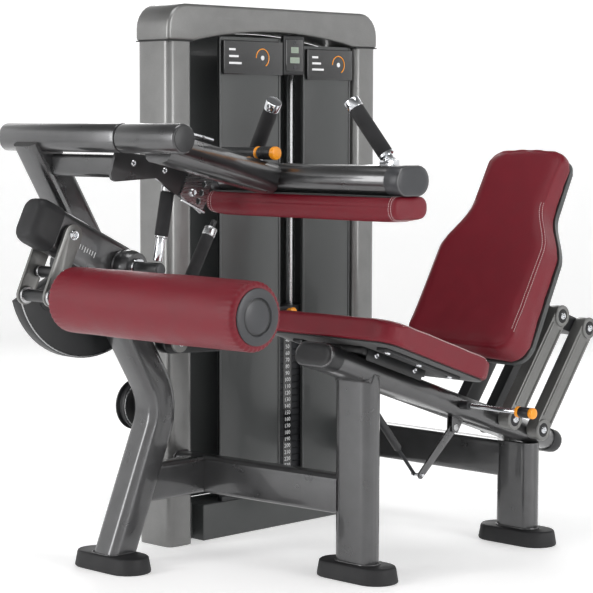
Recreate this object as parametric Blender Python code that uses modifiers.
"""Seated leg curl machine: a weight tower, a seat with an adjustable backrest, a thigh pad and an ankle roller.

Metres, +Z up. The origin is on the floor, under the middle of the front seat post. +X points away from the
weight tower, and +Y from the ankle roller to the backrest, so the seat's middle plane is X = 0.
"""
from math import atan2, cos, hypot, pi, radians, sin, tan

import bmesh
import bpy
from mathutils import Matrix, Vector

# Gaps
GAP = 0.0003  # between welded or stacked pieces
RUN = 0.0001  # radial, between a turning axle and its bore
ROUND_SIDES = 48  # of an axle that runs in a bore
SLIDE = 0.001  # beside a piece that swings or slides

# Weight tower
TOWER_HEIGHT = 1.54
TOWER_WIDTH = 0.864
TOWER_DEPTH = 0.136
TOWER_FACE_X = -0.636
TOWER_FRONT_Y = -0.094
UPRIGHT_WIDTH = 0.094
UPRIGHT_CORNER = 0.022
CAP_HEIGHT = 0.105
CAP_PROUD = 0.002
CAP_CORNER = 0.07
CAP_ARCH = 0.034
BASE_HEIGHT = 0.106
BASE_INSET = 0.006
BASE_RECESS = 0.050
BASE_HOUSING = (0.043, 0.633)  # Y range
SHROUD_INSET = 0.014
SHROUD_WALL = 0.006
SHROUD_BOW = 0.012
LEFT_SHROUD = (0.112, 0.362)  # Y range
RIGHT_SHROUD = (0.457, 0.665)
LEFT_SHROUD_TOP = 1.452
RIGHT_SHROUD_TOP = 1.434
GUIDE_ROD_RADIUS = 0.0125
GUIDE_ROD_Y = (0.347, 0.464)
GUIDE_ROD_BEHIND = 0.069
PLATE_PITCH = 0.020
PLATE_COUNT = 26
PLATE_GROOVE = 0.002
STACK_WIDTH = 0.30
STACK_DEPTH = 0.09
STACK_BEHIND = 0.025
TOP_PLATE_HEIGHT = 0.032
PIN_RADIUS = 0.005
PIN_KNOB_RADIUS = 0.014
PIN_KNOB_LENGTH = 0.03
DISPLAY_SIZE = (0.016, 0.088, 0.115)
DISPLAY_Z = 1.405

# Feet and lower frame
FOOT_LENGTH = 0.255
FOOT_WIDTH = 0.123
FOOT_HEIGHT = 0.045
FOOT_TAPER = 0.88
POST_LENGTH = 0.134
POST_WIDTH = 0.064
REAR_POST_Y = 0.685
LOWER_TUBE_HEIGHT = 0.105
LOWER_TUBE_WIDTH = 0.060
LOWER_TUBE_CORNER = 0.016
CROSS_TUBE_Z = 0.222
REAR_TUBE_Z = 0.240

# Front leg: a bent tube in a plane across X, from its foot to the top cross tube
LEG_X = -0.553
LEG_WIDTH = 0.088
LEG_DEPTH = 0.092
LEG_CORNER = 0.022
LEG_FOOT_Y = -0.378
LEG_BASE_Y = -0.377
LEG_BEND = (-0.206, 0.440)
LEG_BEND_RADIUS = 0.16
LEG_TOP_LEAN = 30.8  # degrees from upright

# Top cross tube, and the thigh pad that turns on it
TOP_TUBE_Y = -0.624
TOP_TUBE_Z = 1.168
TOP_TUBE_SIZE = 0.072
TOP_TUBE_FAR_X = -0.669
SLEEVE_FAR_X = -0.216
SLEEVE_NEAR_X = 0.004
SLEEVE_RADIUS = 0.037
THIGH_ARM_X = -0.106
THIGH_ARM_WIDTH = 0.098
THIGH_ARM_HEIGHT = 0.078
THIGH_ARM_SINK = 0.016  # its middle below the sleeve-to-crossbar line
THIGH_ARM_REACH = 0.460
THIGH_ARM_DROP = 12.8  # degrees below level
CROSSBAR_HALF = 0.340
CROSSBAR_DEPTH = 0.119
CROSSBAR_HEIGHT = 0.074
THIGH_PAD_DEPTH = 0.132
THIGH_PAD_HEIGHT = 0.058
UPPER_GRIP_X = 0.240
UPPER_GRIP_BACK = 0.024  # behind the crossbar's middle
UPPER_GRIP_RADIUS = 0.018
UPPER_GRIP_LENGTH = 0.180
UPPER_GRIP_LEAN = Vector((0.578, -0.156, 0.800))
PULL_HANDLE_RADIUS = 0.0165
PULL_HANDLE_LENGTH = 0.200
PULL_HANDLE_END_X = -0.056
PULL_HANDLE_LIFT = 0.006
PULL_HANDLE_REACH = 0.372
LATCH_LENGTH = 0.085
LATCH_WIDTH = 0.022
LATCH_HEIGHT = 0.008
LATCH_REACH = 0.100
LATCH_LIFT = 0.010

# Gusset and locking sector beside the sleeve
GUSSET_WALL = 0.008
GUSSET_NEAR_X = -0.254
BRACE_SIZE = 0.058
BRACE_DROP = 0.070
SECTOR_INNER = 0.262
SECTOR_OUTER = 0.350
SECTOR_WALL = 0.005
SECTOR_ANGLES = (-34.0, -9.0)
SECTOR_HOLES = 5
SECTOR_HOLE_RADIUS = 0.009

# Movement arm: turns on the knee axle
KNEE_Y = -0.445
KNEE_Z = 0.830
KNEE_AXLE_RADIUS = 0.020
ARM_NEAR_X = -0.425
ARM_WIDTH = 0.075
ARM_HEIGHT = 0.112
ARM_REACH = 0.268
ARM_CAP_LENGTH = 0.050
ARM_RISE = 25.8  # degrees above level
ARM_HUB_RADIUS = 0.057
ARM_ROUNDING = 0.018
CAM_FAR_X = -0.658
CAM_WALL = 0.034
CAM_RADII = (0.208, 0.281)
CAM_ANGLES = (206.0, 306.0)
CAM_HUB_RADIUS = 0.060
STUB_RADIUS = 0.0175
STUB_HUB_RADIUS = 0.046
STUB_HUB_LENGTH = 0.052
STUB_NEAR_X = -0.280
ASSIST_GRIP_RADIUS = 0.017
ASSIST_GRIP_LENGTH = 0.215
ASSIST_GRIP_LEAN = 11.0  # degrees from upright

# Ankle arm: two plates that turn on a bolt through the movement arm, and carry the roller
ANKLE_BOLT = (-0.627, 0.921)
ANKLE_PLATE_WALL = 0.008
ANKLE_NEAR_GAP = 0.010
ANKLE_FAR_GAP = 0.0125
ANKLE_PLATE_WIDTH = 0.056
SPACER_RADIUS = 0.0150
SPACER_SHARE = 0.62  # of the way from the bolt to the roller
ROLLER_Y = -0.700
ROLLER_Z = 0.767
ROLLER_RADIUS = 0.083
ROLLER_HALF = 0.330
ROLLER_ROUNDING = 0.022
ROLLER_AXLE_RADIUS = 0.0155
ROLLER_END_WALL = 0.030

# Belt pulley behind the leg
PULLEY_Y = -0.205
PULLEY_Z = 0.424
PULLEY_RADIUS = 0.071
PULLEY_GROOVE = 0.008
PULLEY_WIDTH = 0.034
PULLEY_HUB_RADIUS = 0.018

# Start-position lever
LEVER_X = -0.470
LEVER_PIVOT = (-0.216, 0.612)
LEVER_LEAN = 15.9  # degrees from upright
LEVER_LENGTH = 0.178
LEVER_GRIP_LEAN = 30.5  # degrees from upright
LEVER_GRIP_LENGTH = 0.158
LEVER_RADIUS = 0.0155
LEVER_PLATE_RADIUS = 0.028
LEVER_PLATE_WALL = 0.010
BUTTON_RADIUS = 0.008
BUTTON_LENGTH = 0.022
BUTTON_DEPTH = 0.004
BUTTON_BORE = 0.012
HOUSING_WIDTH = 0.040
HOUSING_HEIGHT = 0.064
HOUSING_END_Y = -0.032

# Seat rail and seat
RAIL_SLOPE = 18.8  # degrees, falling towards the backrest
RAIL_Z = 0.556  # its axis above the front post
RAIL_FRONT = -0.180  # ends, measured along the rail from the front post
RAIL_REAR = 0.850
RAIL_WIDTH = 0.134
RAIL_HEIGHT = 0.064
SEAT_WIDTH = 0.476
SEAT_FRONT = -0.172
SEAT_REAR = 0.290
SEAT_LIFT = 0.054  # rail axis to seat underside
SEAT_THICKNESS = 0.058
SEAT_CORNER = 0.055
SEAT_BRACKET = (0.150, 0.260)  # width and length

# Backrest on two pairs of equal links
LINK_FRONT = 0.560  # lower joint, along the rail
LINK_SPACING = 0.1366
LINK_RISE = 0.008
LINK_LENGTH = 0.348
LINK_LEAN = 37.7  # degrees from upright
LINK_INNER_X = 0.0685
LINK_WALL = 0.036
LINK_RADIUS = 0.030
BACK_TILT = 31.5  # front face from upright
BACK_FOOT = (0.386, 0.592)  # lower end of the front face
BACK_LENGTH = 0.638
BACK_WIDE = 0.400
BACK_NARROW = 0.276
BACK_SHOULDER = (0.340, 0.425)
BACK_THICK_LOW = 0.108
BACK_THICK_HIGH = 0.062
COUPLER_HALF = 0.0675
COUPLER_RADIUS = 0.024
ADJUST_ALONG = 0.363
ADJUST_ROD_RADIUS = 0.006
ADJUST_KNOB_RADIUS = 0.0145
ADJUST_KNOB_LENGTH = 0.055
ADJUST_LENGTH = 0.252
GAS_LEVER_ALONG = 0.408
GAS_LEVER_DROP = 0.058
GAS_LEVER_LENGTH = 0.182
GAS_LEVER_LEAN = 49.5  # degrees from upright
GAS_LEVER_WALL = 0.006
GAS_LEVER_WIDTH = 0.030
GAS_TOP = (0.062, 0.444)
GAS_CYLINDER_RADIUS = 0.0105
GAS_CYLINDER_LENGTH = 0.150
GAS_ROD_RADIUS = 0.0048
GAS_BORE = 0.060  # depth of rod in the cylinder
GAS_SIDE = 0.022

TOWER_BACK_Y = TOWER_FRONT_Y + TOWER_WIDTH
TOWER_MID_X = TOWER_FACE_X - TOWER_DEPTH / 2
CAP_BOTTOM = TOWER_HEIGHT - CAP_HEIGHT
INNER_Y = (TOWER_FRONT_Y + UPRIGHT_WIDTH, TOWER_BACK_Y - UPRIGHT_WIDTH)
STACK_TOP = BASE_HEIGHT + GAP + PLATE_PITCH * PLATE_COUNT
STACK_X = TOWER_FACE_X - STACK_BEHIND - STACK_DEPTH / 2
STACK_Y = sum(GUIDE_ROD_Y) / 2
GUIDE_ROD_X = TOWER_FACE_X - GUIDE_ROD_BEHIND
ARM_FAR_X = ARM_NEAR_X - ARM_WIDTH
CROSSBAR_Y = TOP_TUBE_Y + THIGH_ARM_REACH * cos(radians(THIGH_ARM_DROP))
CROSSBAR_Z = TOP_TUBE_Z - THIGH_ARM_REACH * sin(radians(THIGH_ARM_DROP))


def clear_scene():
    """Remove every object of the open scene."""
    for thing in list(bpy.data.objects):
        bpy.data.objects.remove(thing, do_unlink=True)


def new_collection(name):
    """Make a collection in the scene."""
    collection = bpy.data.collections.new(name)
    bpy.context.scene.collection.children.link(collection)
    return collection


def principled(name, colour, roughness, metallic=0.0):
    """Make a plain Principled material."""
    material = bpy.data.materials.new(name)
    material.use_nodes = True
    shader = material.node_tree.nodes["Principled BSDF"]
    shader.inputs["Base Color"].default_value = (*colour, 1.0)
    shader.inputs["Roughness"].default_value = roughness
    shader.inputs["Metallic"].default_value = metallic
    return material


clear_scene()
PARTS = new_collection("seated_leg_curl")
CUTTERS = new_collection("cutters")
FINISHES = {
    "frame_paint": ((0.10, 0.10, 0.11), 0.35, 0.6),
    "tower_paint": ((0.11, 0.11, 0.12), 0.35, 0.6),
    "shroud_plastic": ((0.035, 0.038, 0.04), 0.4, 0.0),
    "black_plastic": ((0.01, 0.01, 0.011), 0.5, 0.0),
    "black_rubber": ((0.008, 0.008, 0.008), 0.8, 0.0),
    "grip_foam": ((0.012, 0.012, 0.013), 0.85, 0.0),
    "red_vinyl": ((0.19, 0.012, 0.022), 0.45, 0.0),
    "chrome_steel": ((0.6, 0.6, 0.62), 0.12, 1.0),
    "cast_link": ((0.09, 0.09, 0.09), 0.45, 0.5),
    "plate_steel": ((0.02, 0.02, 0.02), 0.6, 0.3),
    "orange_plastic": ((0.8, 0.3, 0.01), 0.4, 0.0),
}
PAINT = {name: principled(name, *values) for name, values in FINISHES.items()}


def keep(thing, finish, at=(0.0, 0.0, 0.0), turn=(0.0, 0.0, 0.0), pivot=None):
    """Link a piece, give it its finish, and place it under its pivot."""
    PARTS.objects.link(thing)
    if finish:
        thing.data.materials.append(PAINT[finish])
    thing.rotation_euler = turn
    thing.location = Vector(at)
    if pivot:
        thing.parent = pivot
        thing.location = Vector(at) - pivot.location
    return thing


def pivot_at(name, at):
    """Make an empty on a joint's axis."""
    empty = bpy.data.objects.new(name, None)
    empty.location = at
    PARTS.objects.link(empty)
    return empty


ALONG_X = (pi / 2, 0.0, pi / 2)  # an outline's x and y become Y and Z, and it is extruded along X


def arc(centre, radius, start, end, steps):
    """Points of an arc, with angles in degrees."""
    angles = [radians(start + (end - start) * i / steps) for i in range(steps + 1)]
    return [(centre[0] + radius * cos(a), centre[1] + radius * sin(a)) for a in angles]


def circle(radius, centre=(0.0, 0.0), sides=24):
    """Points of a circle."""
    return arc(centre, radius, 0.0, 360.0 * (sides - 1) / sides, sides - 1)


def rounded_box(width, height, corner, centre=(0.0, 0.0), steps=4):
    """Points of a rectangle with round corners."""
    points = []
    for quarter, (sx, sy) in enumerate(((1, 1), (-1, 1), (-1, -1), (1, -1))):
        middle = (centre[0] + sx * (width / 2 - corner), centre[1] + sy * (height / 2 - corner))
        points += arc(middle, corner, 90 * quarter, 90 * quarter + 90, steps)
    return points


def stadium(length, width, steps=10):
    """Points of a slot shape, long along x."""
    half = (length - width) / 2
    return arc((half, 0), width / 2, -90, 90, steps) + arc((-half, 0), width / 2, 90, 270, steps)


def slot_between(a, b, radius_a, radius_b, steps=10):
    """Points around two circles of a link, from a to b."""
    lean = atan2(b[1] - a[1], b[0] - a[0]) * 180 / pi
    return arc(b, radius_b, lean - 90, lean + 90, steps) + arc(a, radius_a, lean + 90, lean + 270, steps)


def prism(name, loops, depth, rounding=0.0):
    """Extrude flat outlines, the first one outside and the others holes, and centre the depth."""
    curve = bpy.data.curves.new(name, "CURVE")
    curve.dimensions = "2D"
    curve.fill_mode = "BOTH"
    curve.extrude = depth / 2 - rounding
    curve.bevel_depth = rounding
    curve.bevel_resolution = 2 if rounding else 0
    curve.offset = -rounding
    for points in loops:
        spline = curve.splines.new("POLY")
        spline.points.add(len(points) - 1)
        for point, (x, y) in zip(spline.points, points):
            point.co = (x, y, 0.0, 1.0)
        spline.use_cyclic_u = True
    return bpy.data.objects.new(name, curve)


def as_mesh(thing):
    """Turn a placed curve into a mesh object at the same place."""
    bpy.context.view_layer.update()
    graph = bpy.context.evaluated_depsgraph_get()
    mesh = bpy.data.meshes.new_from_object(thing.evaluated_get(graph))
    work = bmesh.new()
    work.from_mesh(mesh)
    bmesh.ops.remove_doubles(work, verts=work.verts, dist=1e-5)
    bmesh.ops.recalc_face_normals(work, faces=work.faces)
    work.to_mesh(mesh)
    work.free()
    name, matrix, parent = thing.name, thing.matrix_world.copy(), thing.parent
    homes = list(thing.users_collection)
    bpy.data.objects.remove(thing, do_unlink=True)
    solid = bpy.data.objects.new(name, mesh)
    for home in homes:
        home.objects.link(solid)
    solid.parent = parent
    solid.matrix_world = matrix
    return solid


def cylinder_mesh(name, length, radius, sides=24, end_radius=None):
    """A closed cylinder or cone along local z, centred."""
    work = bmesh.new()
    top = radius if end_radius is None else end_radius
    bmesh.ops.create_cone(
        work, cap_ends=True, segments=sides, radius1=radius, radius2=top, depth=length
    )
    mesh = bpy.data.meshes.new(name)
    work.to_mesh(mesh)
    work.free()
    return mesh


def rod(name, start, end, radius, finish, pivot=None, sides=24):
    """A round bar between two points."""
    start, end = Vector(start), Vector(end)
    thing = bpy.data.objects.new(name, cylinder_mesh(name, (end - start).length, radius, sides))
    turn = (end - start).to_track_quat("Z", "Y").to_euler()
    return keep(thing, finish, (start + end) / 2, turn, pivot)


def turned(name, profile, steps=32):
    """A turned solid: its profile goes down the outer side, and is screwed round local z."""
    mesh = bpy.data.meshes.new(name)
    work = bmesh.new()
    points = [work.verts.new((radius, 0.0, height)) for radius, height in profile]
    for a, b in zip(points, points[1:]):
        work.edges.new((a, b))
    work.to_mesh(mesh)
    work.free()
    thing = bpy.data.objects.new(name, mesh)
    screw = thing.modifiers.new("turn", "SCREW")
    screw.steps = steps
    screw.render_steps = steps
    screw.use_merge_vertices = True
    screw.merge_threshold = 1e-4
    return thing


def block(name, low, high, finish, pivot=None, bevel=0.0, turn=(0.0, 0.0, 0.0)):
    """A box between two corners, with an even bevel if one is asked for."""
    low, high = Vector(low), Vector(high)
    mesh = bpy.data.meshes.new(name)
    work = bmesh.new()
    bmesh.ops.create_cube(work, size=1.0, matrix=Matrix.Diagonal((*(high - low), 1.0)))
    work.to_mesh(mesh)
    work.free()
    thing = keep(bpy.data.objects.new(name, mesh), finish, (low + high) / 2, turn, pivot)
    if bevel:
        edge = thing.modifiers.new("edge", "BEVEL")
        edge.width = bevel
        edge.segments = 2
    return thing


def as_cutter(thing):
    """Move a solid out of the parts and hide it."""
    for home in list(thing.users_collection):
        home.objects.unlink(thing)
    CUTTERS.objects.link(thing)
    thing.hide_render = True
    thing.display_type = "WIRE"
    return thing


def combine(thing, other, operation):
    """Join or cut a mesh with another one, which becomes a hidden helper."""
    boolean = thing.modifiers.new(other.name, "BOOLEAN")
    boolean.operation = operation
    boolean.object = as_cutter(other)
    return thing


def bar_along_x(name, low_x, high_x, outline, at_yz, finish, pivot=None, rounding=0.0):
    """Extrude an outline in the YZ plane between two X values."""
    thing = prism(name, [outline], high_x - low_x, rounding)
    return keep(thing, finish, ((low_x + high_x) / 2, *at_yz), ALONG_X, pivot)


def bar_along_z(name, low_z, high_z, outline, at_xy, finish):
    """Extrude an outline in the XY plane between two heights."""
    thing = prism(name, [outline], high_z - low_z)
    return keep(thing, finish, (*at_xy, (low_z + high_z) / 2))


def along_rail(distance, lift=0.0):
    """(y, z) of a point beside the seat rail, by its place along and above the rail's axis."""
    slope = radians(RAIL_SLOPE)
    return (distance * cos(slope) + lift * sin(slope), RAIL_Z - distance * sin(slope) + lift * cos(slope))


def shifted(point, length, lean):
    """(y, z) a length away from a point, leaning from upright towards +Y."""
    return (point[0] + length * sin(radians(lean)), point[1] + length * cos(radians(lean)))


# ---------------------------------------------------------------- weight tower


def make_uprights():
    """The two round-cornered columns of the tower."""
    outline = rounded_box(TOWER_DEPTH, UPRIGHT_WIDTH, UPRIGHT_CORNER)
    for name, y in (
        ("tower_front_upright", TOWER_FRONT_Y + UPRIGHT_WIDTH / 2),
        ("tower_rear_upright", TOWER_BACK_Y - UPRIGHT_WIDTH / 2),
    ):
        bar_along_z(name, 0.0, CAP_BOTTOM - GAP, outline, (TOWER_MID_X, y), "tower_paint")


def arch(lower=0.0, steps=12):
    """Points along the underside of the cap, between the uprights."""
    low, high = INNER_Y
    points = []
    for i in range(steps + 1):
        share = 2 * i / steps - 1
        height = CAP_BOTTOM - lower + CAP_ARCH * (1 - share * share)
        points.append((low + (high - low) * i / steps, height))
    return points


def make_tower_cap():
    """The crowned top, arched underneath between the uprights."""
    low, high = TOWER_FRONT_Y - CAP_PROUD, TOWER_BACK_Y + CAP_PROUD
    outline = [(low, CAP_BOTTOM)] + arch() + [(high, CAP_BOTTOM)]
    top = TOWER_HEIGHT - CAP_CORNER
    outline += arc((high - CAP_CORNER, top), CAP_CORNER, 0, 90, 6)
    outline += arc((low + CAP_CORNER, top), CAP_CORNER, 90, 180, 6)
    bar_along_x(
        "tower_cap", TOWER_FACE_X - TOWER_DEPTH - CAP_PROUD, TOWER_FACE_X + CAP_PROUD, outline, (0, 0), "tower_paint"
    )


def make_tower_base():
    """The low housing between the uprights, on the floor."""
    back_x = TOWER_FACE_X - TOWER_DEPTH + BASE_INSET
    front_x = TOWER_FACE_X - BASE_INSET
    base = block(
        "tower_base",
        (back_x, INNER_Y[0] + GAP, 0.0),
        (front_x - BASE_RECESS, INNER_Y[1] - GAP, BASE_HEIGHT),
        "tower_paint",
    )
    low, high = BASE_HOUSING
    housing = block("tower_base_housing", (back_x + 0.01, low, 0.0), (front_x, high, BASE_HEIGHT), None)
    combine(base, housing, "UNION")


def bowed_panel(low_y, high_y, bow, wall, steps=8):
    """Outline in x and y of a thin panel that bows towards +x."""
    face = []
    for i in range(steps + 1):
        share = 2 * i / steps - 1
        face.append((bow * (1 - share * share), low_y + (high_y - low_y) * i / steps))
    back = [(x - wall, y) for x, y in reversed(face)]
    return face + back


def make_shrouds():
    """The two front panels and the flat rear one."""
    for name, (low, high), top in (
        ("front_shroud", LEFT_SHROUD, LEFT_SHROUD_TOP),
        ("rear_side_shroud", RIGHT_SHROUD, RIGHT_SHROUD_TOP),
    ):
        outline = bowed_panel(low, high, SHROUD_BOW, SHROUD_WALL)
        place = (TOWER_FACE_X - SHROUD_INSET, 0.0)
        bar_along_z(name, BASE_HEIGHT + GAP, top, outline, place, "shroud_plastic")
    top = [(min(max(y, INNER_Y[0] + GAP), INNER_Y[1] - GAP), z) for y, z in arch(2 * GAP)]
    outline = top + [(INNER_Y[1] - GAP, BASE_HEIGHT + GAP), (INNER_Y[0] + GAP, BASE_HEIGHT + GAP)]
    low = TOWER_FACE_X - TOWER_DEPTH
    bar_along_x("back_shroud", low, low + SHROUD_WALL, outline, (0.0, 0.0), "shroud_plastic")


def rod_bores(name, low_z, high_z):
    """Cutters for the two guide rods."""
    bores = []
    for i, y in enumerate(GUIDE_ROD_Y):
        start, end = (GUIDE_ROD_X, y, low_z - 0.01), (GUIDE_ROD_X, y, high_z + 0.01)
        bores.append(rod(f"{name}_bore_{i}", start, end, GUIDE_ROD_RADIUS + SLIDE, None))
    return bores


def make_stack():
    """Guide rods, the plate stack, its top plate and the selector pin."""
    for name, y in zip(("guide_rod_front", "guide_rod_rear"), GUIDE_ROD_Y):
        start, end = (GUIDE_ROD_X, y, BASE_HEIGHT + GAP), (GUIDE_ROD_X, y, CAP_BOTTOM - GAP)
        rod(name, start, end, GUIDE_ROD_RADIUS, "chrome_steel", sides=16)
    side = []
    for i in range(PLATE_COUNT):
        low = i * PLATE_PITCH
        side += [(0.0, low + PLATE_GROOVE), (0.0, low + PLATE_PITCH)]
        if i < PLATE_COUNT - 1:
            side += [(-PLATE_GROOVE, low + PLATE_PITCH), (-PLATE_GROOVE, low + PLATE_PITCH + PLATE_GROOVE)]
    side[0] = (0.0, 0.0)
    outline = side + [(-STACK_DEPTH, PLATE_COUNT * PLATE_PITCH), (-STACK_DEPTH, 0.0)]
    face_x = TOWER_FACE_X - STACK_BEHIND
    plates = prism("weight_stack", [outline], STACK_WIDTH)
    keep(plates, "plate_steel", (face_x, STACK_Y, BASE_HEIGHT + GAP), (pi / 2, 0.0, 0.0))
    plates = as_mesh(plates)
    for bore in rod_bores("stack", BASE_HEIGHT, STACK_TOP):
        combine(plates, bore, "DIFFERENCE")
    lift = pivot_at("stack_lift", (STACK_X, STACK_Y, STACK_TOP))
    top = block(
        "stack_top_plate",
        (face_x - STACK_DEPTH, STACK_Y - STACK_WIDTH / 2, STACK_TOP + GAP),
        (face_x, STACK_Y + STACK_WIDTH / 2, STACK_TOP + GAP + TOP_PLATE_HEIGHT),
        "plate_steel",
        lift,
    )
    for bore in rod_bores("top", STACK_TOP, STACK_TOP + TOP_PLATE_HEIGHT):
        combine(top, bore, "DIFFERENCE")
    pin_z = STACK_TOP + TOP_PLATE_HEIGHT / 2
    knob = turned(
        "selector_pin",
        [
            (0.0, PIN_KNOB_LENGTH),
            (PIN_KNOB_RADIUS, PIN_KNOB_LENGTH),
            (PIN_KNOB_RADIUS, 0.0),
            (0.0, 0.0),
        ],
        16,
    )
    slide = pivot_at("pin_slide", (face_x + GAP, STACK_Y, pin_z))
    keep(knob, "orange_plastic", (face_x + GAP, STACK_Y, pin_z), (0.0, pi / 2, 0.0), slide)


def make_display():
    """The rep counter between the front panels, high on the tower."""
    depth, width, height = DISPLAY_SIZE
    middle = (LEFT_SHROUD[1] + RIGHT_SHROUD[0]) / 2
    block(
        "display_unit",
        (TOWER_FACE_X - depth, middle - width / 2, DISPLAY_Z - height / 2),
        (TOWER_FACE_X, middle + width / 2, DISPLAY_Z + height / 2),
        "black_plastic",
        bevel=0.003,
    )


# ---------------------------------------------------------------- frame


def make_foot(name, x, y):
    """A tapered rubber foot with round ends."""
    foot = prism(name, [stadium(FOOT_LENGTH, FOOT_WIDTH)], FOOT_HEIGHT)
    foot = as_mesh(keep(foot, "black_rubber", (x, y, FOOT_HEIGHT / 2)))
    for vertex in foot.data.vertices:
        if vertex.co.z > 0:
            vertex.co.x *= 1 - (1 - FOOT_TAPER) * FOOT_WIDTH / FOOT_LENGTH
            vertex.co.y *= FOOT_TAPER


def rail_outline(extra=0.0):
    """The seat rail's slot section."""
    return stadium(RAIL_WIDTH + 2 * extra, RAIL_HEIGHT + 2 * extra, 8)


def rail_solid(name, extra=0.0, finish="frame_paint"):
    """The inclined rail, or a cutter a little larger than it."""
    length = RAIL_REAR - RAIL_FRONT
    middle = along_rail((RAIL_REAR + RAIL_FRONT) / 2)
    tube = prism(name, [rail_outline(extra)], length)
    return as_mesh(keep(tube, finish, (0.0, *middle), (pi / 2 - radians(RAIL_SLOPE), 0.0, 0.0)))


def make_posts():
    """The two seat posts, notched round the rail."""
    for name, y, share in (("front_post", 0.0, 0.1), ("rear_post", REAR_POST_Y, 0.48)):
        along = y / cos(radians(RAIL_SLOPE))
        top = along_rail(along, -RAIL_HEIGHT * share)[1]
        post = bar_along_z(name, FOOT_HEIGHT + GAP, top, stadium(POST_LENGTH, POST_WIDTH), (0.0, y), "frame_paint")
        combine(as_mesh(post), rail_solid(name + "_notch", GAP, None), "DIFFERENCE")


def level_tube(name, start, end, z, extra=0.0, finish="frame_paint"):
    """A level tube near the floor between two points in plan."""
    section = rounded_box(
        LOWER_TUBE_HEIGHT + 2 * extra, LOWER_TUBE_WIDTH + 2 * extra, LOWER_TUBE_CORNER
    )
    start, end = Vector((*start, z)), Vector((*end, z))
    turn = (end - start).to_track_quat("Z", "X").to_euler()
    tube = prism(name, [section], (end - start).length)
    return as_mesh(keep(tube, finish, (start + end) / 2, turn))


def make_lower_tubes():
    """The tubes near the floor that tie the leg, the tower and the posts together."""
    upright = TOWER_FRONT_Y + UPRIGHT_WIDTH / 2
    runs = (
        ("front_cross_tube", upright, 0.0, CROSS_TUBE_Z),
        ("rear_cross_tube", REAR_POST_Y, REAR_POST_Y, REAR_TUBE_Z),
    )
    for name, tower_y, post_y, z in runs:
        tube = level_tube(name, (TOWER_FACE_X - 0.02, tower_y), (0.0, post_y), z)
        post = prism(name + "_post", [stadium(POST_LENGTH + 2 * GAP, POST_WIDTH + 2 * GAP)], 0.4)
        combine(tube, as_mesh(keep(post, None, (0.0, post_y, z))), "DIFFERENCE")
        beyond = block(name + "_stop", (0.02 - POST_LENGTH / 2, post_y - 0.1, 0.0), (0.1, post_y + 0.1, 0.4), None)
        combine(tube, beyond, "DIFFERENCE")
        face = TOWER_FACE_X + GAP
        stop = block(name + "_face", (face - 0.1, tower_y - 0.1, 0.0), (face, tower_y + 0.1, 0.4), None)
        combine(tube, stop, "DIFFERENCE")
    start, end = (LEG_X, leg_centre(CROSS_TUBE_Z)), (LEG_X, upright)
    tube = level_tube("corner_tube", start, end, CROSS_TUBE_Z)
    combine(tube, leg_solid("corner_leg_notch", GAP, None), "DIFFERENCE")
    run_start, run_end = (TOWER_FACE_X - 0.02, upright), (0.0, 0.0)
    notch = level_tube("corner_notch", run_start, run_end, CROSS_TUBE_Z, GAP, None)
    combine(tube, notch, "DIFFERENCE")


def leg_path():
    """(y, z) points of the front leg, with a round bend."""
    foot = Vector((LEG_BASE_Y, FOOT_HEIGHT - 0.02))
    bend = Vector(LEG_BEND)
    top = Vector(shifted(LEG_BEND, (TOP_TUBE_Z - LEG_BEND[1]) / cos(radians(LEG_TOP_LEAN)), -LEG_TOP_LEAN))
    down, up = (foot - bend).normalized(), (top - bend).normalized()
    half = down.angle(up) / 2
    cut = LEG_BEND_RADIUS / tan(half)
    centre = bend + (down + up).normalized() * (LEG_BEND_RADIUS / sin(half))
    start, end = bend + down * cut - centre, bend + up * cut - centre
    first, last = atan2(start.y, start.x), atan2(end.y, end.x)
    if first < 0:
        first += 2 * pi
    if last < 0:
        last += 2 * pi
    if abs(last - first) > pi:
        last += 2 * pi if last < first else -2 * pi
    round_part = [
        (centre.x + LEG_BEND_RADIUS * cos(first + (last - first) * i / 8),
         centre.y + LEG_BEND_RADIUS * sin(first + (last - first) * i / 8))
        for i in range(9)
    ]
    return [tuple(foot)] + round_part + [tuple(top)]


def leg_centre(z):
    """Y of the front leg's middle at a height."""
    path = leg_path()
    for (y0, z0), (y1, z1) in zip(path, path[1:]):
        if z0 <= z <= z1:
            return y0 + (y1 - y0) * (z - z0) / (z1 - z0)
    return path[-1][0]


def leg_solid(name, extra=0.0, finish="frame_paint"):
    """The bent tube, or a cutter a little larger than it."""
    section = rounded_box(LEG_DEPTH + 2 * extra, LEG_WIDTH + 2 * extra, LEG_CORNER)
    guide = prism(name + "_section", [section], 0.0)
    guide.data.fill_mode = "NONE"
    as_cutter(keep(guide, None))
    curve = bpy.data.curves.new(name, "CURVE")
    curve.dimensions = "2D"
    curve.fill_mode = "NONE"
    curve.bevel_mode = "OBJECT"
    curve.bevel_object = guide
    curve.use_fill_caps = True
    path = leg_path()
    spline = curve.splines.new("POLY")
    spline.points.add(len(path) - 1)
    for point, (y, z) in zip(spline.points, path):
        point.co = (y, z, 0.0, 1.0)
    return as_mesh(keep(bpy.data.objects.new(name, curve), finish, (LEG_X, 0.0, 0.0), ALONG_X))


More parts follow.
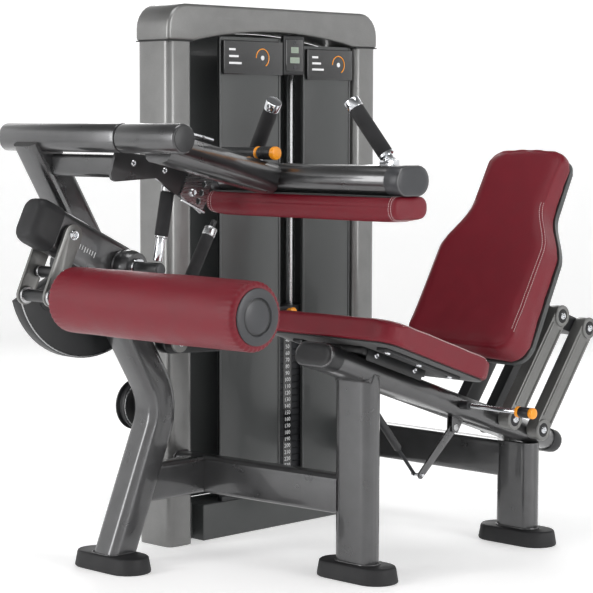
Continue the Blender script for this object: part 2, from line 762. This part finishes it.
def make_leg():
    """The bent front leg, cut to the top tube and its foot, and bored for the knee axle."""
    leg = leg_solid("front_leg")
    top = bar_along_x("leg_top_cut", LEG_X - 0.2, LEG_X + 0.2, top_cut_outline(), (TOP_TUBE_Y, TOP_TUBE_Z), None)
    combine(leg, as_mesh(top), "DIFFERENCE")
    floor = block("leg_floor_cut", (LEG_X - 0.2, -0.7, -0.1), (LEG_X + 0.2, 0.0, FOOT_HEIGHT + GAP), None)
    combine(leg, floor, "DIFFERENCE")
    start, end = (LEG_X - 0.1, KNEE_Y, KNEE_Z), (LEG_X + 0.1, KNEE_Y, KNEE_Z)
    combine(leg, rod("leg_bore", start, end, KNEE_AXLE_RADIUS + RUN, None, sides=ROUND_SIDES), "DIFFERENCE")


def top_cut_outline():
    """The top tube's section with its clearance, carried on upwards."""
    half = TOP_TUBE_SIZE / 2 + GAP
    corner = half * 0.8
    lower = arc((-half + corner, -half + corner), corner, 180, 270, 6)
    lower += arc((half - corner, -half + corner), corner, 270, 360, 6)
    return lower + [(half + 0.2, 0.3), (-half - 0.2, 0.3)]


def make_top_tube():
    """The cross tube that carries the thigh pad's sleeve."""
    outline = rounded_box(TOP_TUBE_SIZE, TOP_TUBE_SIZE, TOP_TUBE_SIZE * 0.4, steps=6)
    bar_along_x(
        "top_cross_tube", TOP_TUBE_FAR_X, SLEEVE_FAR_X - GAP, outline, (TOP_TUBE_Y, TOP_TUBE_Z), "frame_paint"
    )


def make_gusset():
    """A welded plate under the top tube with the brace tube that ties it to the leg, and the sector beside it."""
    under = TOP_TUBE_Z - TOP_TUBE_SIZE / 2 - GAP
    outline = [
        (-0.617, under),
        (-0.634, 1.080),
        (-0.631, 1.066),
        (-0.620, 1.060),
        (-0.484, 1.066),
        (-0.404, 1.016),
        (-0.388, 1.012),
        (-0.358, 1.098),
        (-0.372, 1.110),
        (-0.560, under - 0.002),
        (-0.589, under),
    ]
    near = GUSSET_NEAR_X
    plate = as_mesh(bar_along_x("gusset_plate", near - GUSSET_WALL, near, outline, (0.0, 0.0), "frame_paint"))
    brace = rounded_box(BRACE_SIZE, BRACE_SIZE, 0.012)
    z = TOP_TUBE_Z - BRACE_DROP
    far = LEG_X + LEG_WIDTH / 2 + GAP
    tube = bar_along_x("brace", far, near - GUSSET_WALL / 2, brace, (leg_centre(z) + 0.012, z), None)
    combine(plate, as_mesh(tube), "UNION")
    inner, outer = SECTOR_INNER, SECTOR_OUTER
    low, high = SECTOR_ANGLES
    sector = arc((0, 0), outer, low, high, 8) + arc((0, 0), inner, high, low, 8)
    holes = []
    for i in range(SECTOR_HOLES):
        angle = radians(low + (high - low) * (i + 0.9) / (SECTOR_HOLES + 0.9))
        row = inner * 0.28 + outer * 0.72
        middle = (row * cos(angle), row * sin(angle))
        holes.append(circle(SECTOR_HOLE_RADIUS, middle, 12))
    plate = prism("locking_sector", [sector] + holes, SECTOR_WALL)
    place = (near + GAP + SECTOR_WALL / 2, TOP_TUBE_Y, TOP_TUBE_Z)
    keep(plate, "chrome_steel", place, ALONG_X)


# ---------------------------------------------------------------- thigh pad


def make_thigh_pad():
    """The sleeve, arm, crossbar, pad and grips, all turning on the top tube's axis."""
    axis = pivot_at("thigh_pivot", (THIGH_ARM_X, TOP_TUBE_Y, TOP_TUBE_Z))
    at = (TOP_TUBE_Y, TOP_TUBE_Z)
    sleeve = bar_along_x(
        "thigh_arm", SLEEVE_FAR_X, SLEEVE_NEAR_X, circle(SLEEVE_RADIUS, sides=28), at, "frame_paint", None, 0.006
    )
    drop = radians(THIGH_ARM_DROP)
    start = SLEEVE_RADIUS * 0.5
    end = THIGH_ARM_REACH - CROSSBAR_DEPTH / 2
    middle = (start + end) / 2
    section = rounded_box(THIGH_ARM_WIDTH, THIGH_ARM_HEIGHT, 0.030)
    sunk = TOP_TUBE_Z - THIGH_ARM_SINK
    place = (THIGH_ARM_X, TOP_TUBE_Y + middle * cos(drop), sunk - middle * sin(drop))
    reach = keep(prism("thigh_arm_reach", [section], end - start), None, place, (pi / 2 - drop, 0.0, 0.0))
    arm = combine(as_mesh(sleeve), as_mesh(reach), "UNION")
    at = (CROSSBAR_Y, CROSSBAR_Z)
    notch = stadium(CROSSBAR_DEPTH + 2 * GAP, CROSSBAR_HEIGHT + 2 * GAP)
    combine(arm, as_mesh(bar_along_x("thigh_arm_notch", -0.2, 0.0, notch, at, None)), "DIFFERENCE")
    pad_y = CROSSBAR_Y - THIGH_PAD_DEPTH / 2 - SLIDE
    clear = block("thigh_arm_clear", (-0.2, pad_y, 0.9), (0.0, pad_y + 0.2, CROSSBAR_Z), None)
    combine(arm, clear, "DIFFERENCE")
    hang_on(arm, axis, None)
    bar = stadium(CROSSBAR_DEPTH, CROSSBAR_HEIGHT)
    bar_along_x("thigh_crossbar", -CROSSBAR_HALF, CROSSBAR_HALF, bar, at, "frame_paint", axis)
    pad = rounded_box(THIGH_PAD_DEPTH, THIGH_PAD_HEIGHT, THIGH_PAD_HEIGHT * 0.45)
    pad_z = CROSSBAR_Z - CROSSBAR_HEIGHT / 2 - 2 * GAP - THIGH_PAD_HEIGHT / 2
    bar_along_x("thigh_pad", -CROSSBAR_HALF, CROSSBAR_HALF, pad, (CROSSBAR_Y, pad_z), "red_vinyl", axis)
    base_z = CROSSBAR_Z + CROSSBAR_HEIGHT / 2 + UPPER_GRIP_RADIUS * 0.75
    for name, side in (("upper_grip_far", 1), ("upper_grip_near", -1)):
        base = Vector((-side * UPPER_GRIP_X, CROSSBAR_Y + UPPER_GRIP_BACK, base_z))
        lean = Vector((side * UPPER_GRIP_LEAN.x, UPPER_GRIP_LEAN.y, UPPER_GRIP_LEAN.z))
        rod(name, base, base + lean * UPPER_GRIP_LENGTH, UPPER_GRIP_RADIUS, "grip_foam", axis)
    make_thigh_controls(axis, drop)


def make_thigh_controls(axis, drop):
    """The sprung pull handle over the arm, and the chromed latch on its top."""
    sunk = TOP_TUBE_Z - THIGH_ARM_SINK
    lift = THIGH_ARM_HEIGHT / 2 + PULL_HANDLE_RADIUS + PULL_HANDLE_LIFT
    y = TOP_TUBE_Y + PULL_HANDLE_REACH * cos(drop) + lift * sin(drop)
    z = sunk - PULL_HANDLE_REACH * sin(drop) + lift * cos(drop)
    slide = pivot_at("handle_slide", (PULL_HANDLE_END_X, y, z))
    slide.parent = axis
    slide.location = Vector((PULL_HANDLE_END_X, y, z)) - axis.location
    bpy.context.view_layer.update()
    far = (PULL_HANDLE_END_X - PULL_HANDLE_LENGTH, y, z)
    handle = rod("pull_handle", far, (PULL_HANDLE_END_X, y, z), PULL_HANDLE_RADIUS, "black_plastic")
    handle.parent = slide
    handle.location = Vector((-PULL_HANDLE_LENGTH / 2, 0.0, 0.0))
    lift = THIGH_ARM_HEIGHT / 2 + LATCH_HEIGHT / 2 + LATCH_LIFT
    y = TOP_TUBE_Y + (LATCH_REACH + LATCH_LENGTH / 2) * cos(drop) + lift * sin(drop)
    z = sunk - (LATCH_REACH + LATCH_LENGTH / 2) * sin(drop) + lift * cos(drop)
    half = Vector((LATCH_WIDTH, LATCH_LENGTH, LATCH_HEIGHT)) / 2
    centre = Vector((THIGH_ARM_X, y, z))
    block("release_latch", centre - half, centre + half, "chrome_steel", axis, 0.002, (-drop, 0.0, 0.0))


# ---------------------------------------------------------------- movement arm and roller


def make_movement_arm():
    """The arm with its end cap, knee axle, belt cam and assist handle."""
    knee = pivot_at("knee_pivot", (ARM_NEAR_X, KNEE_Y, KNEE_Z))
    lean = 180 - ARM_RISE
    direction = Vector((cos(radians(lean)), sin(radians(lean))))
    across = Vector((-direction.y, direction.x)) * ARM_HEIGHT / 2
    tip = direction * ARM_REACH
    outline = [tuple(tip - across), tuple(tip + across)]
    outline += arc((0, 0), ARM_HUB_RADIUS, lean + 90, lean + 270, 14)
    bar_along_x("movement_arm", ARM_FAR_X, ARM_NEAR_X, outline, (KNEE_Y, KNEE_Z), "frame_paint", knee, ARM_ROUNDING)
    start, end = direction * (ARM_REACH + GAP), direction * (ARM_REACH + ARM_CAP_LENGTH)
    cap = [tuple(start + across), tuple(start - across), tuple(end - across * 0.92), tuple(end + across * 0.92)]
    bar_along_x("arm_end_cap", ARM_FAR_X, ARM_NEAR_X, cap, (KNEE_Y, KNEE_Z), "black_rubber", knee, ARM_ROUNDING)
    axle_start = (CAM_FAR_X, KNEE_Y, KNEE_Z)
    axle_end = (ARM_FAR_X - GAP, KNEE_Y, KNEE_Z)
    rod("knee_axle", axle_start, axle_end, KNEE_AXLE_RADIUS, "chrome_steel", knee, ROUND_SIDES)
    low, high = CAM_ANGLES
    steps = 20
    cam = []
    for i in range(steps + 1):
        share = i / steps
        radius = CAM_RADII[0] + (CAM_RADII[1] - CAM_RADII[0]) * share
        angle = radians(low + (high - low) * share)
        cam.append((radius * cos(angle), radius * sin(angle)))
    cam += arc((0, 0), CAM_HUB_RADIUS, high, low + 360, 10)
    bore = circle(KNEE_AXLE_RADIUS + GAP, sides=ROUND_SIDES)
    plate = prism("belt_cam", [cam, bore], CAM_WALL)
    keep(plate, "black_plastic", (CAM_FAR_X + CAM_WALL / 2, KNEE_Y, KNEE_Z), ALONG_X, knee)
    length = STUB_NEAR_X - ARM_NEAR_X - GAP
    profile = [
        (0.0, length),
        (STUB_RADIUS, length),
        (STUB_RADIUS, STUB_HUB_LENGTH),
        (STUB_HUB_RADIUS, STUB_HUB_LENGTH),
        (STUB_HUB_RADIUS, 0.0),
        (0.0, 0.0),
    ]
    stub = turned("assist_stub", profile, 28)
    keep(stub, "frame_paint", (ARM_NEAR_X + GAP, KNEE_Y, KNEE_Z), (0.0, pi / 2, 0.0), knee)
    grip_x = STUB_NEAR_X - ASSIST_GRIP_RADIUS
    base = shifted((KNEE_Y, KNEE_Z), STUB_RADIUS + 0.004, ASSIST_GRIP_LEAN)
    tip = shifted(base, ASSIST_GRIP_LENGTH, ASSIST_GRIP_LEAN)
    rod("assist_grip", (grip_x, *base), (grip_x, *tip), ASSIST_GRIP_RADIUS, "grip_foam", knee)
    make_ankle_arm(knee)


def make_ankle_arm(knee):
    """The two plates on their bolt, the spacer between them, the axle and the roller."""
    bolt = pivot_at("ankle_pivot", (ARM_NEAR_X, *ANKLE_BOLT))
    bolt.parent = knee
    bolt.location = Vector((ARM_NEAR_X, *ANKLE_BOLT)) - knee.location
    to_roller = (ROLLER_Y - ANKLE_BOLT[0], ROLLER_Z - ANKLE_BOLT[1])
    radius = ANKLE_PLATE_WIDTH / 2
    outline = slot_between((0.0, 0.0), to_roller, radius, radius * 0.9)
    spacer = (to_roller[0] * SPACER_SHARE + 0.012, to_roller[1] * SPACER_SHARE)
    bore = circle(ROLLER_AXLE_RADIUS + GAP, to_roller, ROUND_SIDES)
    near_low = ARM_NEAR_X + ANKLE_NEAR_GAP
    far_high = ARM_FAR_X - ANKLE_FAR_GAP
    for name, low in (("ankle_plate_near", near_low), ("ankle_plate_far", far_high - ANKLE_PLATE_WALL)):
        plate = prism(name, [outline, bore], ANKLE_PLATE_WALL)
        thing = keep(plate, "frame_paint", (low + ANKLE_PLATE_WALL / 2, *ANKLE_BOLT), ALONG_X)
        hang_on(thing, bolt, knee)
    y, z = ANKLE_BOLT[0] + spacer[0], ANKLE_BOLT[1] + spacer[1]
    thing = rod("ankle_spacer", (far_high + GAP, y, z), (near_low - GAP, y, z), SPACER_RADIUS, "frame_paint")
    hang_on(thing, bolt, knee)
    end = ROLLER_HALF - ROLLER_END_WALL - SLIDE
    start = (far_high - ANKLE_PLATE_WALL, ROLLER_Y, ROLLER_Z)
    end = (end, ROLLER_Y, ROLLER_Z)
    thing = rod("roller_axle", start, end, ROLLER_AXLE_RADIUS, "chrome_steel", sides=ROUND_SIDES)
    hang_on(thing, bolt, knee)
    bore_radius = ROLLER_AXLE_RADIUS + RUN
    corner = ROLLER_ROUNDING
    inner = ROLLER_RADIUS - corner
    profile = [(0.0, ROLLER_HALF)]
    profile += [(inner + corner * sin(radians(a)), ROLLER_HALF - corner + corner * cos(radians(a))) for a in range(0, 91, 30)]
    profile += [(inner + corner * cos(radians(a)), corner - ROLLER_HALF - corner * sin(radians(a))) for a in range(0, 91, 30)]
    profile += [(bore_radius, -ROLLER_HALF), (bore_radius, ROLLER_HALF - ROLLER_END_WALL), (0.0, ROLLER_HALF - ROLLER_END_WALL)]
    roller = turned("ankle_roller", profile, ROUND_SIDES)
    keep(roller, "red_vinyl", (0.0, ROLLER_Y, ROLLER_Z), (0.0, pi / 2, 0.0))
    spin = pivot_at("roller_spin", (0.0, ROLLER_Y, ROLLER_Z))
    hang_on(roller, spin, None)


def hang_on(thing, pivot, above):
    """Parent a placed piece to a pivot, which may hang on another one, and keep its place."""
    origin = pivot.location + (above.location if above else Vector())
    thing.location = thing.location - origin
    thing.parent = pivot


def make_pulley():
    """The grooved belt pulley behind the leg, with a hub that reaches the leg."""
    hub_end = LEG_X - LEG_WIDTH / 2 - SLIDE
    half = PULLEY_WIDTH / 2
    profile = [
        (0.0, hub_end - CAM_FAR_X - half),
        (PULLEY_HUB_RADIUS, hub_end - CAM_FAR_X - half),
        (PULLEY_HUB_RADIUS, half),
        (PULLEY_RADIUS, half),
        (PULLEY_RADIUS, half * 0.7),
        (PULLEY_RADIUS - PULLEY_GROOVE, half * 0.6),
        (PULLEY_RADIUS - PULLEY_GROOVE, -half * 0.6),
        (PULLEY_RADIUS, -half * 0.7),
        (PULLEY_RADIUS, -half),
        (0.0, -half),
    ]
    place = (CAM_FAR_X + half, PULLEY_Y, PULLEY_Z)
    keep(turned("belt_pulley", profile, 28), "black_plastic", place, (0.0, pi / 2, 0.0))


def make_start_lever():
    """The lever that sets the start position, its push button and the housing it turns on."""
    pivot = pivot_at("lever_pivot", (LEVER_X, *LEVER_PIVOT))
    near = LEVER_X + LEVER_RADIUS
    plate = as_mesh(
        bar_along_x(
            "start_lever", near - LEVER_PLATE_WALL, near, circle(LEVER_PLATE_RADIUS), LEVER_PIVOT, "cast_link", pivot
        )
    )
    base = shifted(LEVER_PIVOT, LEVER_RADIUS, LEVER_LEAN)
    bend = shifted(LEVER_PIVOT, LEVER_LENGTH, LEVER_LEAN)
    tip = shifted(bend, LEVER_GRIP_LENGTH, LEVER_GRIP_LEAN)
    start = shifted(bend, -LEVER_RADIUS / 2, LEVER_GRIP_LEAN)
    combine(plate, rod("lever_rod", (LEVER_X, *base), (LEVER_X, *bend), LEVER_RADIUS * 0.9, None), "UNION")
    combine(plate, rod("lever_grip", (LEVER_X, *start), (LEVER_X, *tip), LEVER_RADIUS, None), "UNION")
    bore_end, bore_start = shifted(tip, -BUTTON_BORE, LEVER_GRIP_LEAN), shifted(tip, 0.01, LEVER_GRIP_LEAN)
    bore = rod("lever_bore", (LEVER_X, *bore_end), (LEVER_X, *bore_start), BUTTON_RADIUS + 2 * GAP, None)
    combine(plate, bore, "DIFFERENCE")
    slide = pivot_at("button_slide", (LEVER_X, *tip))
    slide.parent = pivot
    slide.location = Vector((LEVER_X, *tip)) - pivot.location
    button_base = shifted(tip, -BUTTON_DEPTH, LEVER_GRIP_LEAN)
    button_tip = shifted(tip, BUTTON_LENGTH, LEVER_GRIP_LEAN)
    button = rod("lever_button", (LEVER_X, *button_base), (LEVER_X, *button_tip), BUTTON_RADIUS, "black_plastic")
    hang_on(button, slide, pivot)
    housing_near = near - LEVER_PLATE_WALL - LEVER_RADIUS * 2 - SLIDE
    start = (LEVER_PIVOT[0] + 0.006, LEVER_PIVOT[1] - 0.004)
    end = (HOUSING_END_Y, LEVER_PIVOT[1] - 0.010)
    outline = slot_between(start, end, LEVER_PLATE_RADIUS * 1.1, HOUSING_HEIGHT / 2)
    low = housing_near - HOUSING_WIDTH
    body = as_mesh(bar_along_x("lever_housing", low, housing_near, outline, (0.0, 0.0), "black_plastic", None, 0.004))
    bracket = circle(0.022, (end[0] - 0.004, end[1]))
    arm = bar_along_x("housing_bracket", TOWER_FACE_X + GAP, low + 0.01, bracket, (0.0, 0.0), None)
    combine(body, as_mesh(arm), "UNION")


# ---------------------------------------------------------------- seat and backrest


def make_seat():
    """The seat pad on its bracket above the rail."""
    slope = radians(RAIL_SLOPE)
    length = SEAT_REAR - SEAT_FRONT
    middle = along_rail((SEAT_REAR + SEAT_FRONT) / 2, SEAT_LIFT + SEAT_THICKNESS / 2)
    pad = prism("seat_pad", [rounded_box(SEAT_WIDTH, length, SEAT_CORNER)], SEAT_THICKNESS)
    keep(pad, "red_vinyl", (0.0, *middle), (-slope, 0.0, 0.0))
    width, span = SEAT_BRACKET
    low, high = RAIL_HEIGHT / 2 + GAP, SEAT_LIFT - 2 * GAP
    centre = Vector((0.0, *along_rail(0.05, (low + high) / 2)))
    half = Vector((width, span, high - low)) / 2
    block("seat_bracket", centre - half, centre + half, "black_plastic", None, 0.0, (-slope, 0.0, 0.0))


def back_outline():
    """Half widths of the backrest along its front face, from the foot up."""
    low, high = BACK_SHOULDER
    wide, narrow = BACK_WIDE / 2, BACK_NARROW / 2
    corner = 0.055
    right = arc((wide - corner, corner), corner, -90, 0, 5)
    right += [(wide, low - 0.02), (wide - 0.012, low + 0.018), (narrow + 0.014, high - 0.018), (narrow, high + 0.02)]
    right += arc((narrow - corner * 0.7, BACK_LENGTH - corner * 0.7), corner * 0.7, 0, 90, 4)
    return right + [(-x, y) for x, y in reversed(right)]


def make_backrest():
    """The wedge-shaped pad, which stands on the coupler."""
    tilt = radians(BACK_TILT)
    pad = prism("backrest_pad", [back_outline()], BACK_THICK_LOW)
    turn = (pi / 2 - tilt, 0.0, 0.0)
    depth = Vector((0.0, cos(tilt), -sin(tilt))) * BACK_THICK_LOW / 2
    pad = as_mesh(keep(pad, "red_vinyl", Vector((0.0, *BACK_FOOT)) + depth, turn))
    for vertex in pad.data.vertices:
        if vertex.co.z < 0:
            share = vertex.co.y / BACK_LENGTH
            vertex.co.z = BACK_THICK_LOW / 2 - (BACK_THICK_LOW + (BACK_THICK_HIGH - BACK_THICK_LOW) * share)
    return pad


def link_joints():
    """(y, z) of the lower and upper joints of the front and rear links."""
    front = along_rail(LINK_FRONT, LINK_RISE)
    rear = along_rail(LINK_FRONT + LINK_SPACING, LINK_RISE)
    return front, rear, shifted(front, LINK_LENGTH, LINK_LEAN), shifted(rear, LINK_LENGTH, LINK_LEAN)


def make_links():
    """Two pairs of equal links beside the rail, and the coupler that joins their tops."""
    front, rear, front_top, rear_top = link_joints()
    to_top = (front_top[0] - front[0], front_top[1] - front[1])
    pivots = {"front": pivot_at("front_link_pivot", (0.0, *front)), "rear": pivot_at("rear_link_pivot", (0.0, *rear))}
    outline = slot_between((0.0, 0.0), to_top, LINK_RADIUS, LINK_RADIUS)
    for pair, at in (("front", front), ("rear", rear)):
        for side, sign in (("near", 1), ("far", -1)):
            inner, outer = sign * LINK_INNER_X, sign * (LINK_INNER_X + LINK_WALL)
            low, high = min(inner, outer), max(inner, outer)
            bar_along_x(f"{pair}_link_{side}", low, high, outline, at, "cast_link", pivots[pair], 0.003)
    outline = slot_between(front_top, rear_top, COUPLER_RADIUS, COUPLER_RADIUS)
    coupler = as_mesh(
        bar_along_x("back_coupler", -COUPLER_HALF, COUPLER_HALF, outline, (0.0, 0.0), "black_plastic")
    )
    carrier = pivot_at("carrier_pivot", (0.0, *front_top))
    hang_on(coupler, carrier, None)
    bpy.context.view_layer.update()
    pad = make_backrest()
    upright = back_plate()
    combine(coupler, upright, "UNION")
    hang_on(pad, carrier, None)


def back_plate():
    """The steel plate between the coupler and the back of the pad."""
    tilt = radians(BACK_TILT)
    taper = atan2(BACK_THICK_LOW - BACK_THICK_HIGH, BACK_LENGTH)
    lean = tilt - taper
    foot = Vector(BACK_FOOT) + Vector((cos(tilt), -sin(tilt))) * (BACK_THICK_LOW + 2 * GAP)
    along = Vector((sin(lean), cos(lean)))
    away = Vector((cos(lean), -sin(lean)))
    _, _, front_top, _ = link_joints()
    low = along.dot(Vector(front_top) - foot)
    reach = away.dot(Vector(front_top) - foot)
    a, b = foot + along * (low - 0.03), foot + along * (low + 0.14)
    out = max(reach, 0.012)
    outline = [tuple(a), tuple(a + away * out), tuple(foot + along * (low + 0.02) + away * out), tuple(b + away * 0.008), tuple(b)]
    plate = bar_along_x("back_plate", -COUPLER_HALF * 0.9, COUPLER_HALF * 0.9, outline, (0.0, 0.0), None)
    return as_mesh(plate)


def make_adjusters():
    """The backrest's pull knob, and the gas spring with its lever under the rail."""
    y, z = along_rail(ADJUST_ALONG, 0.0)
    start_x = RAIL_WIDTH / 2 + SLIDE
    slide = pivot_at("knob_slide", (start_x, y, z))
    length = ADJUST_LENGTH
    profile = [
        (0.0, length),
        (ADJUST_KNOB_RADIUS, length),
        (ADJUST_KNOB_RADIUS, length - ADJUST_KNOB_LENGTH),
        (ADJUST_ROD_RADIUS, length - ADJUST_KNOB_LENGTH),
        (ADJUST_ROD_RADIUS, 0.0),
        (0.0, 0.0),
    ]
    keep(turned("adjust_knob", profile, 20), "orange_plastic", (start_x, y, z), (0.0, pi / 2, 0.0), slide)
    top = along_rail(GAS_LEVER_ALONG, -GAS_LEVER_DROP)
    reach = (-GAS_LEVER_LENGTH * sin(radians(GAS_LEVER_LEAN)), -GAS_LEVER_LENGTH * cos(radians(GAS_LEVER_LEAN)))
    outline = slot_between((0.0, 0.0), reach, GAS_LEVER_WIDTH / 2, GAS_LEVER_WIDTH / 3)
    half = GAS_LEVER_WALL / 2
    pivot = pivot_at("gas_lever_pivot", (0.0, *top))
    bar_along_x("gas_lever", GAS_SIDE - half, GAS_SIDE + half, outline, top, "frame_paint", pivot)
    end = (top[0] + reach[0], top[1] + reach[1])
    span = Vector((end[0] - GAS_TOP[0], end[1] - GAS_TOP[1]))
    direction = span.normalized()
    upper = Vector(GAS_TOP)
    cylinder_end = upper + direction * GAS_CYLINDER_LENGTH
    hinge = pivot_at("gas_spring_pivot", (0.0, *GAS_TOP))
    bore = GAS_ROD_RADIUS + SLIDE / 2
    profile = [
        (0.0, GAS_CYLINDER_LENGTH),
        (GAS_CYLINDER_RADIUS, GAS_CYLINDER_LENGTH),
        (GAS_CYLINDER_RADIUS, 0.0),
        (bore, 0.0),
        (bore, GAS_BORE),
        (0.0, GAS_BORE),
    ]
    turn = Vector((0.0, -direction.x, -direction.y)).to_track_quat("Z", "Y").to_euler()
    keep(turned("gas_cylinder", profile, 20), "black_plastic", (0.0, *cylinder_end), turn, hinge)
    start = cylinder_end - direction * (GAS_BORE - GAP)
    rod("gas_rod", (0.0, *start), (0.0, *(upper + span)), GAS_ROD_RADIUS, "chrome_steel", hinge, 12)


make_uprights()
make_tower_cap()
make_tower_base()
make_shrouds()
make_stack()
make_display()
for foot_name, foot_x, foot_y in (
    ("leg_foot", LEG_X, LEG_FOOT_Y),
    ("front_post_foot", 0.0, 0.0),
    ("rear_post_foot", 0.0, REAR_POST_Y),
):
    make_foot(foot_name, foot_x, foot_y)
rail_solid("seat_rail")
make_posts()
make_lower_tubes()
make_leg()
make_top_tube()
make_gusset()
make_thigh_pad()
make_movement_arm()
make_pulley()
make_start_lever()
make_seat()
make_links()
make_adjusters()
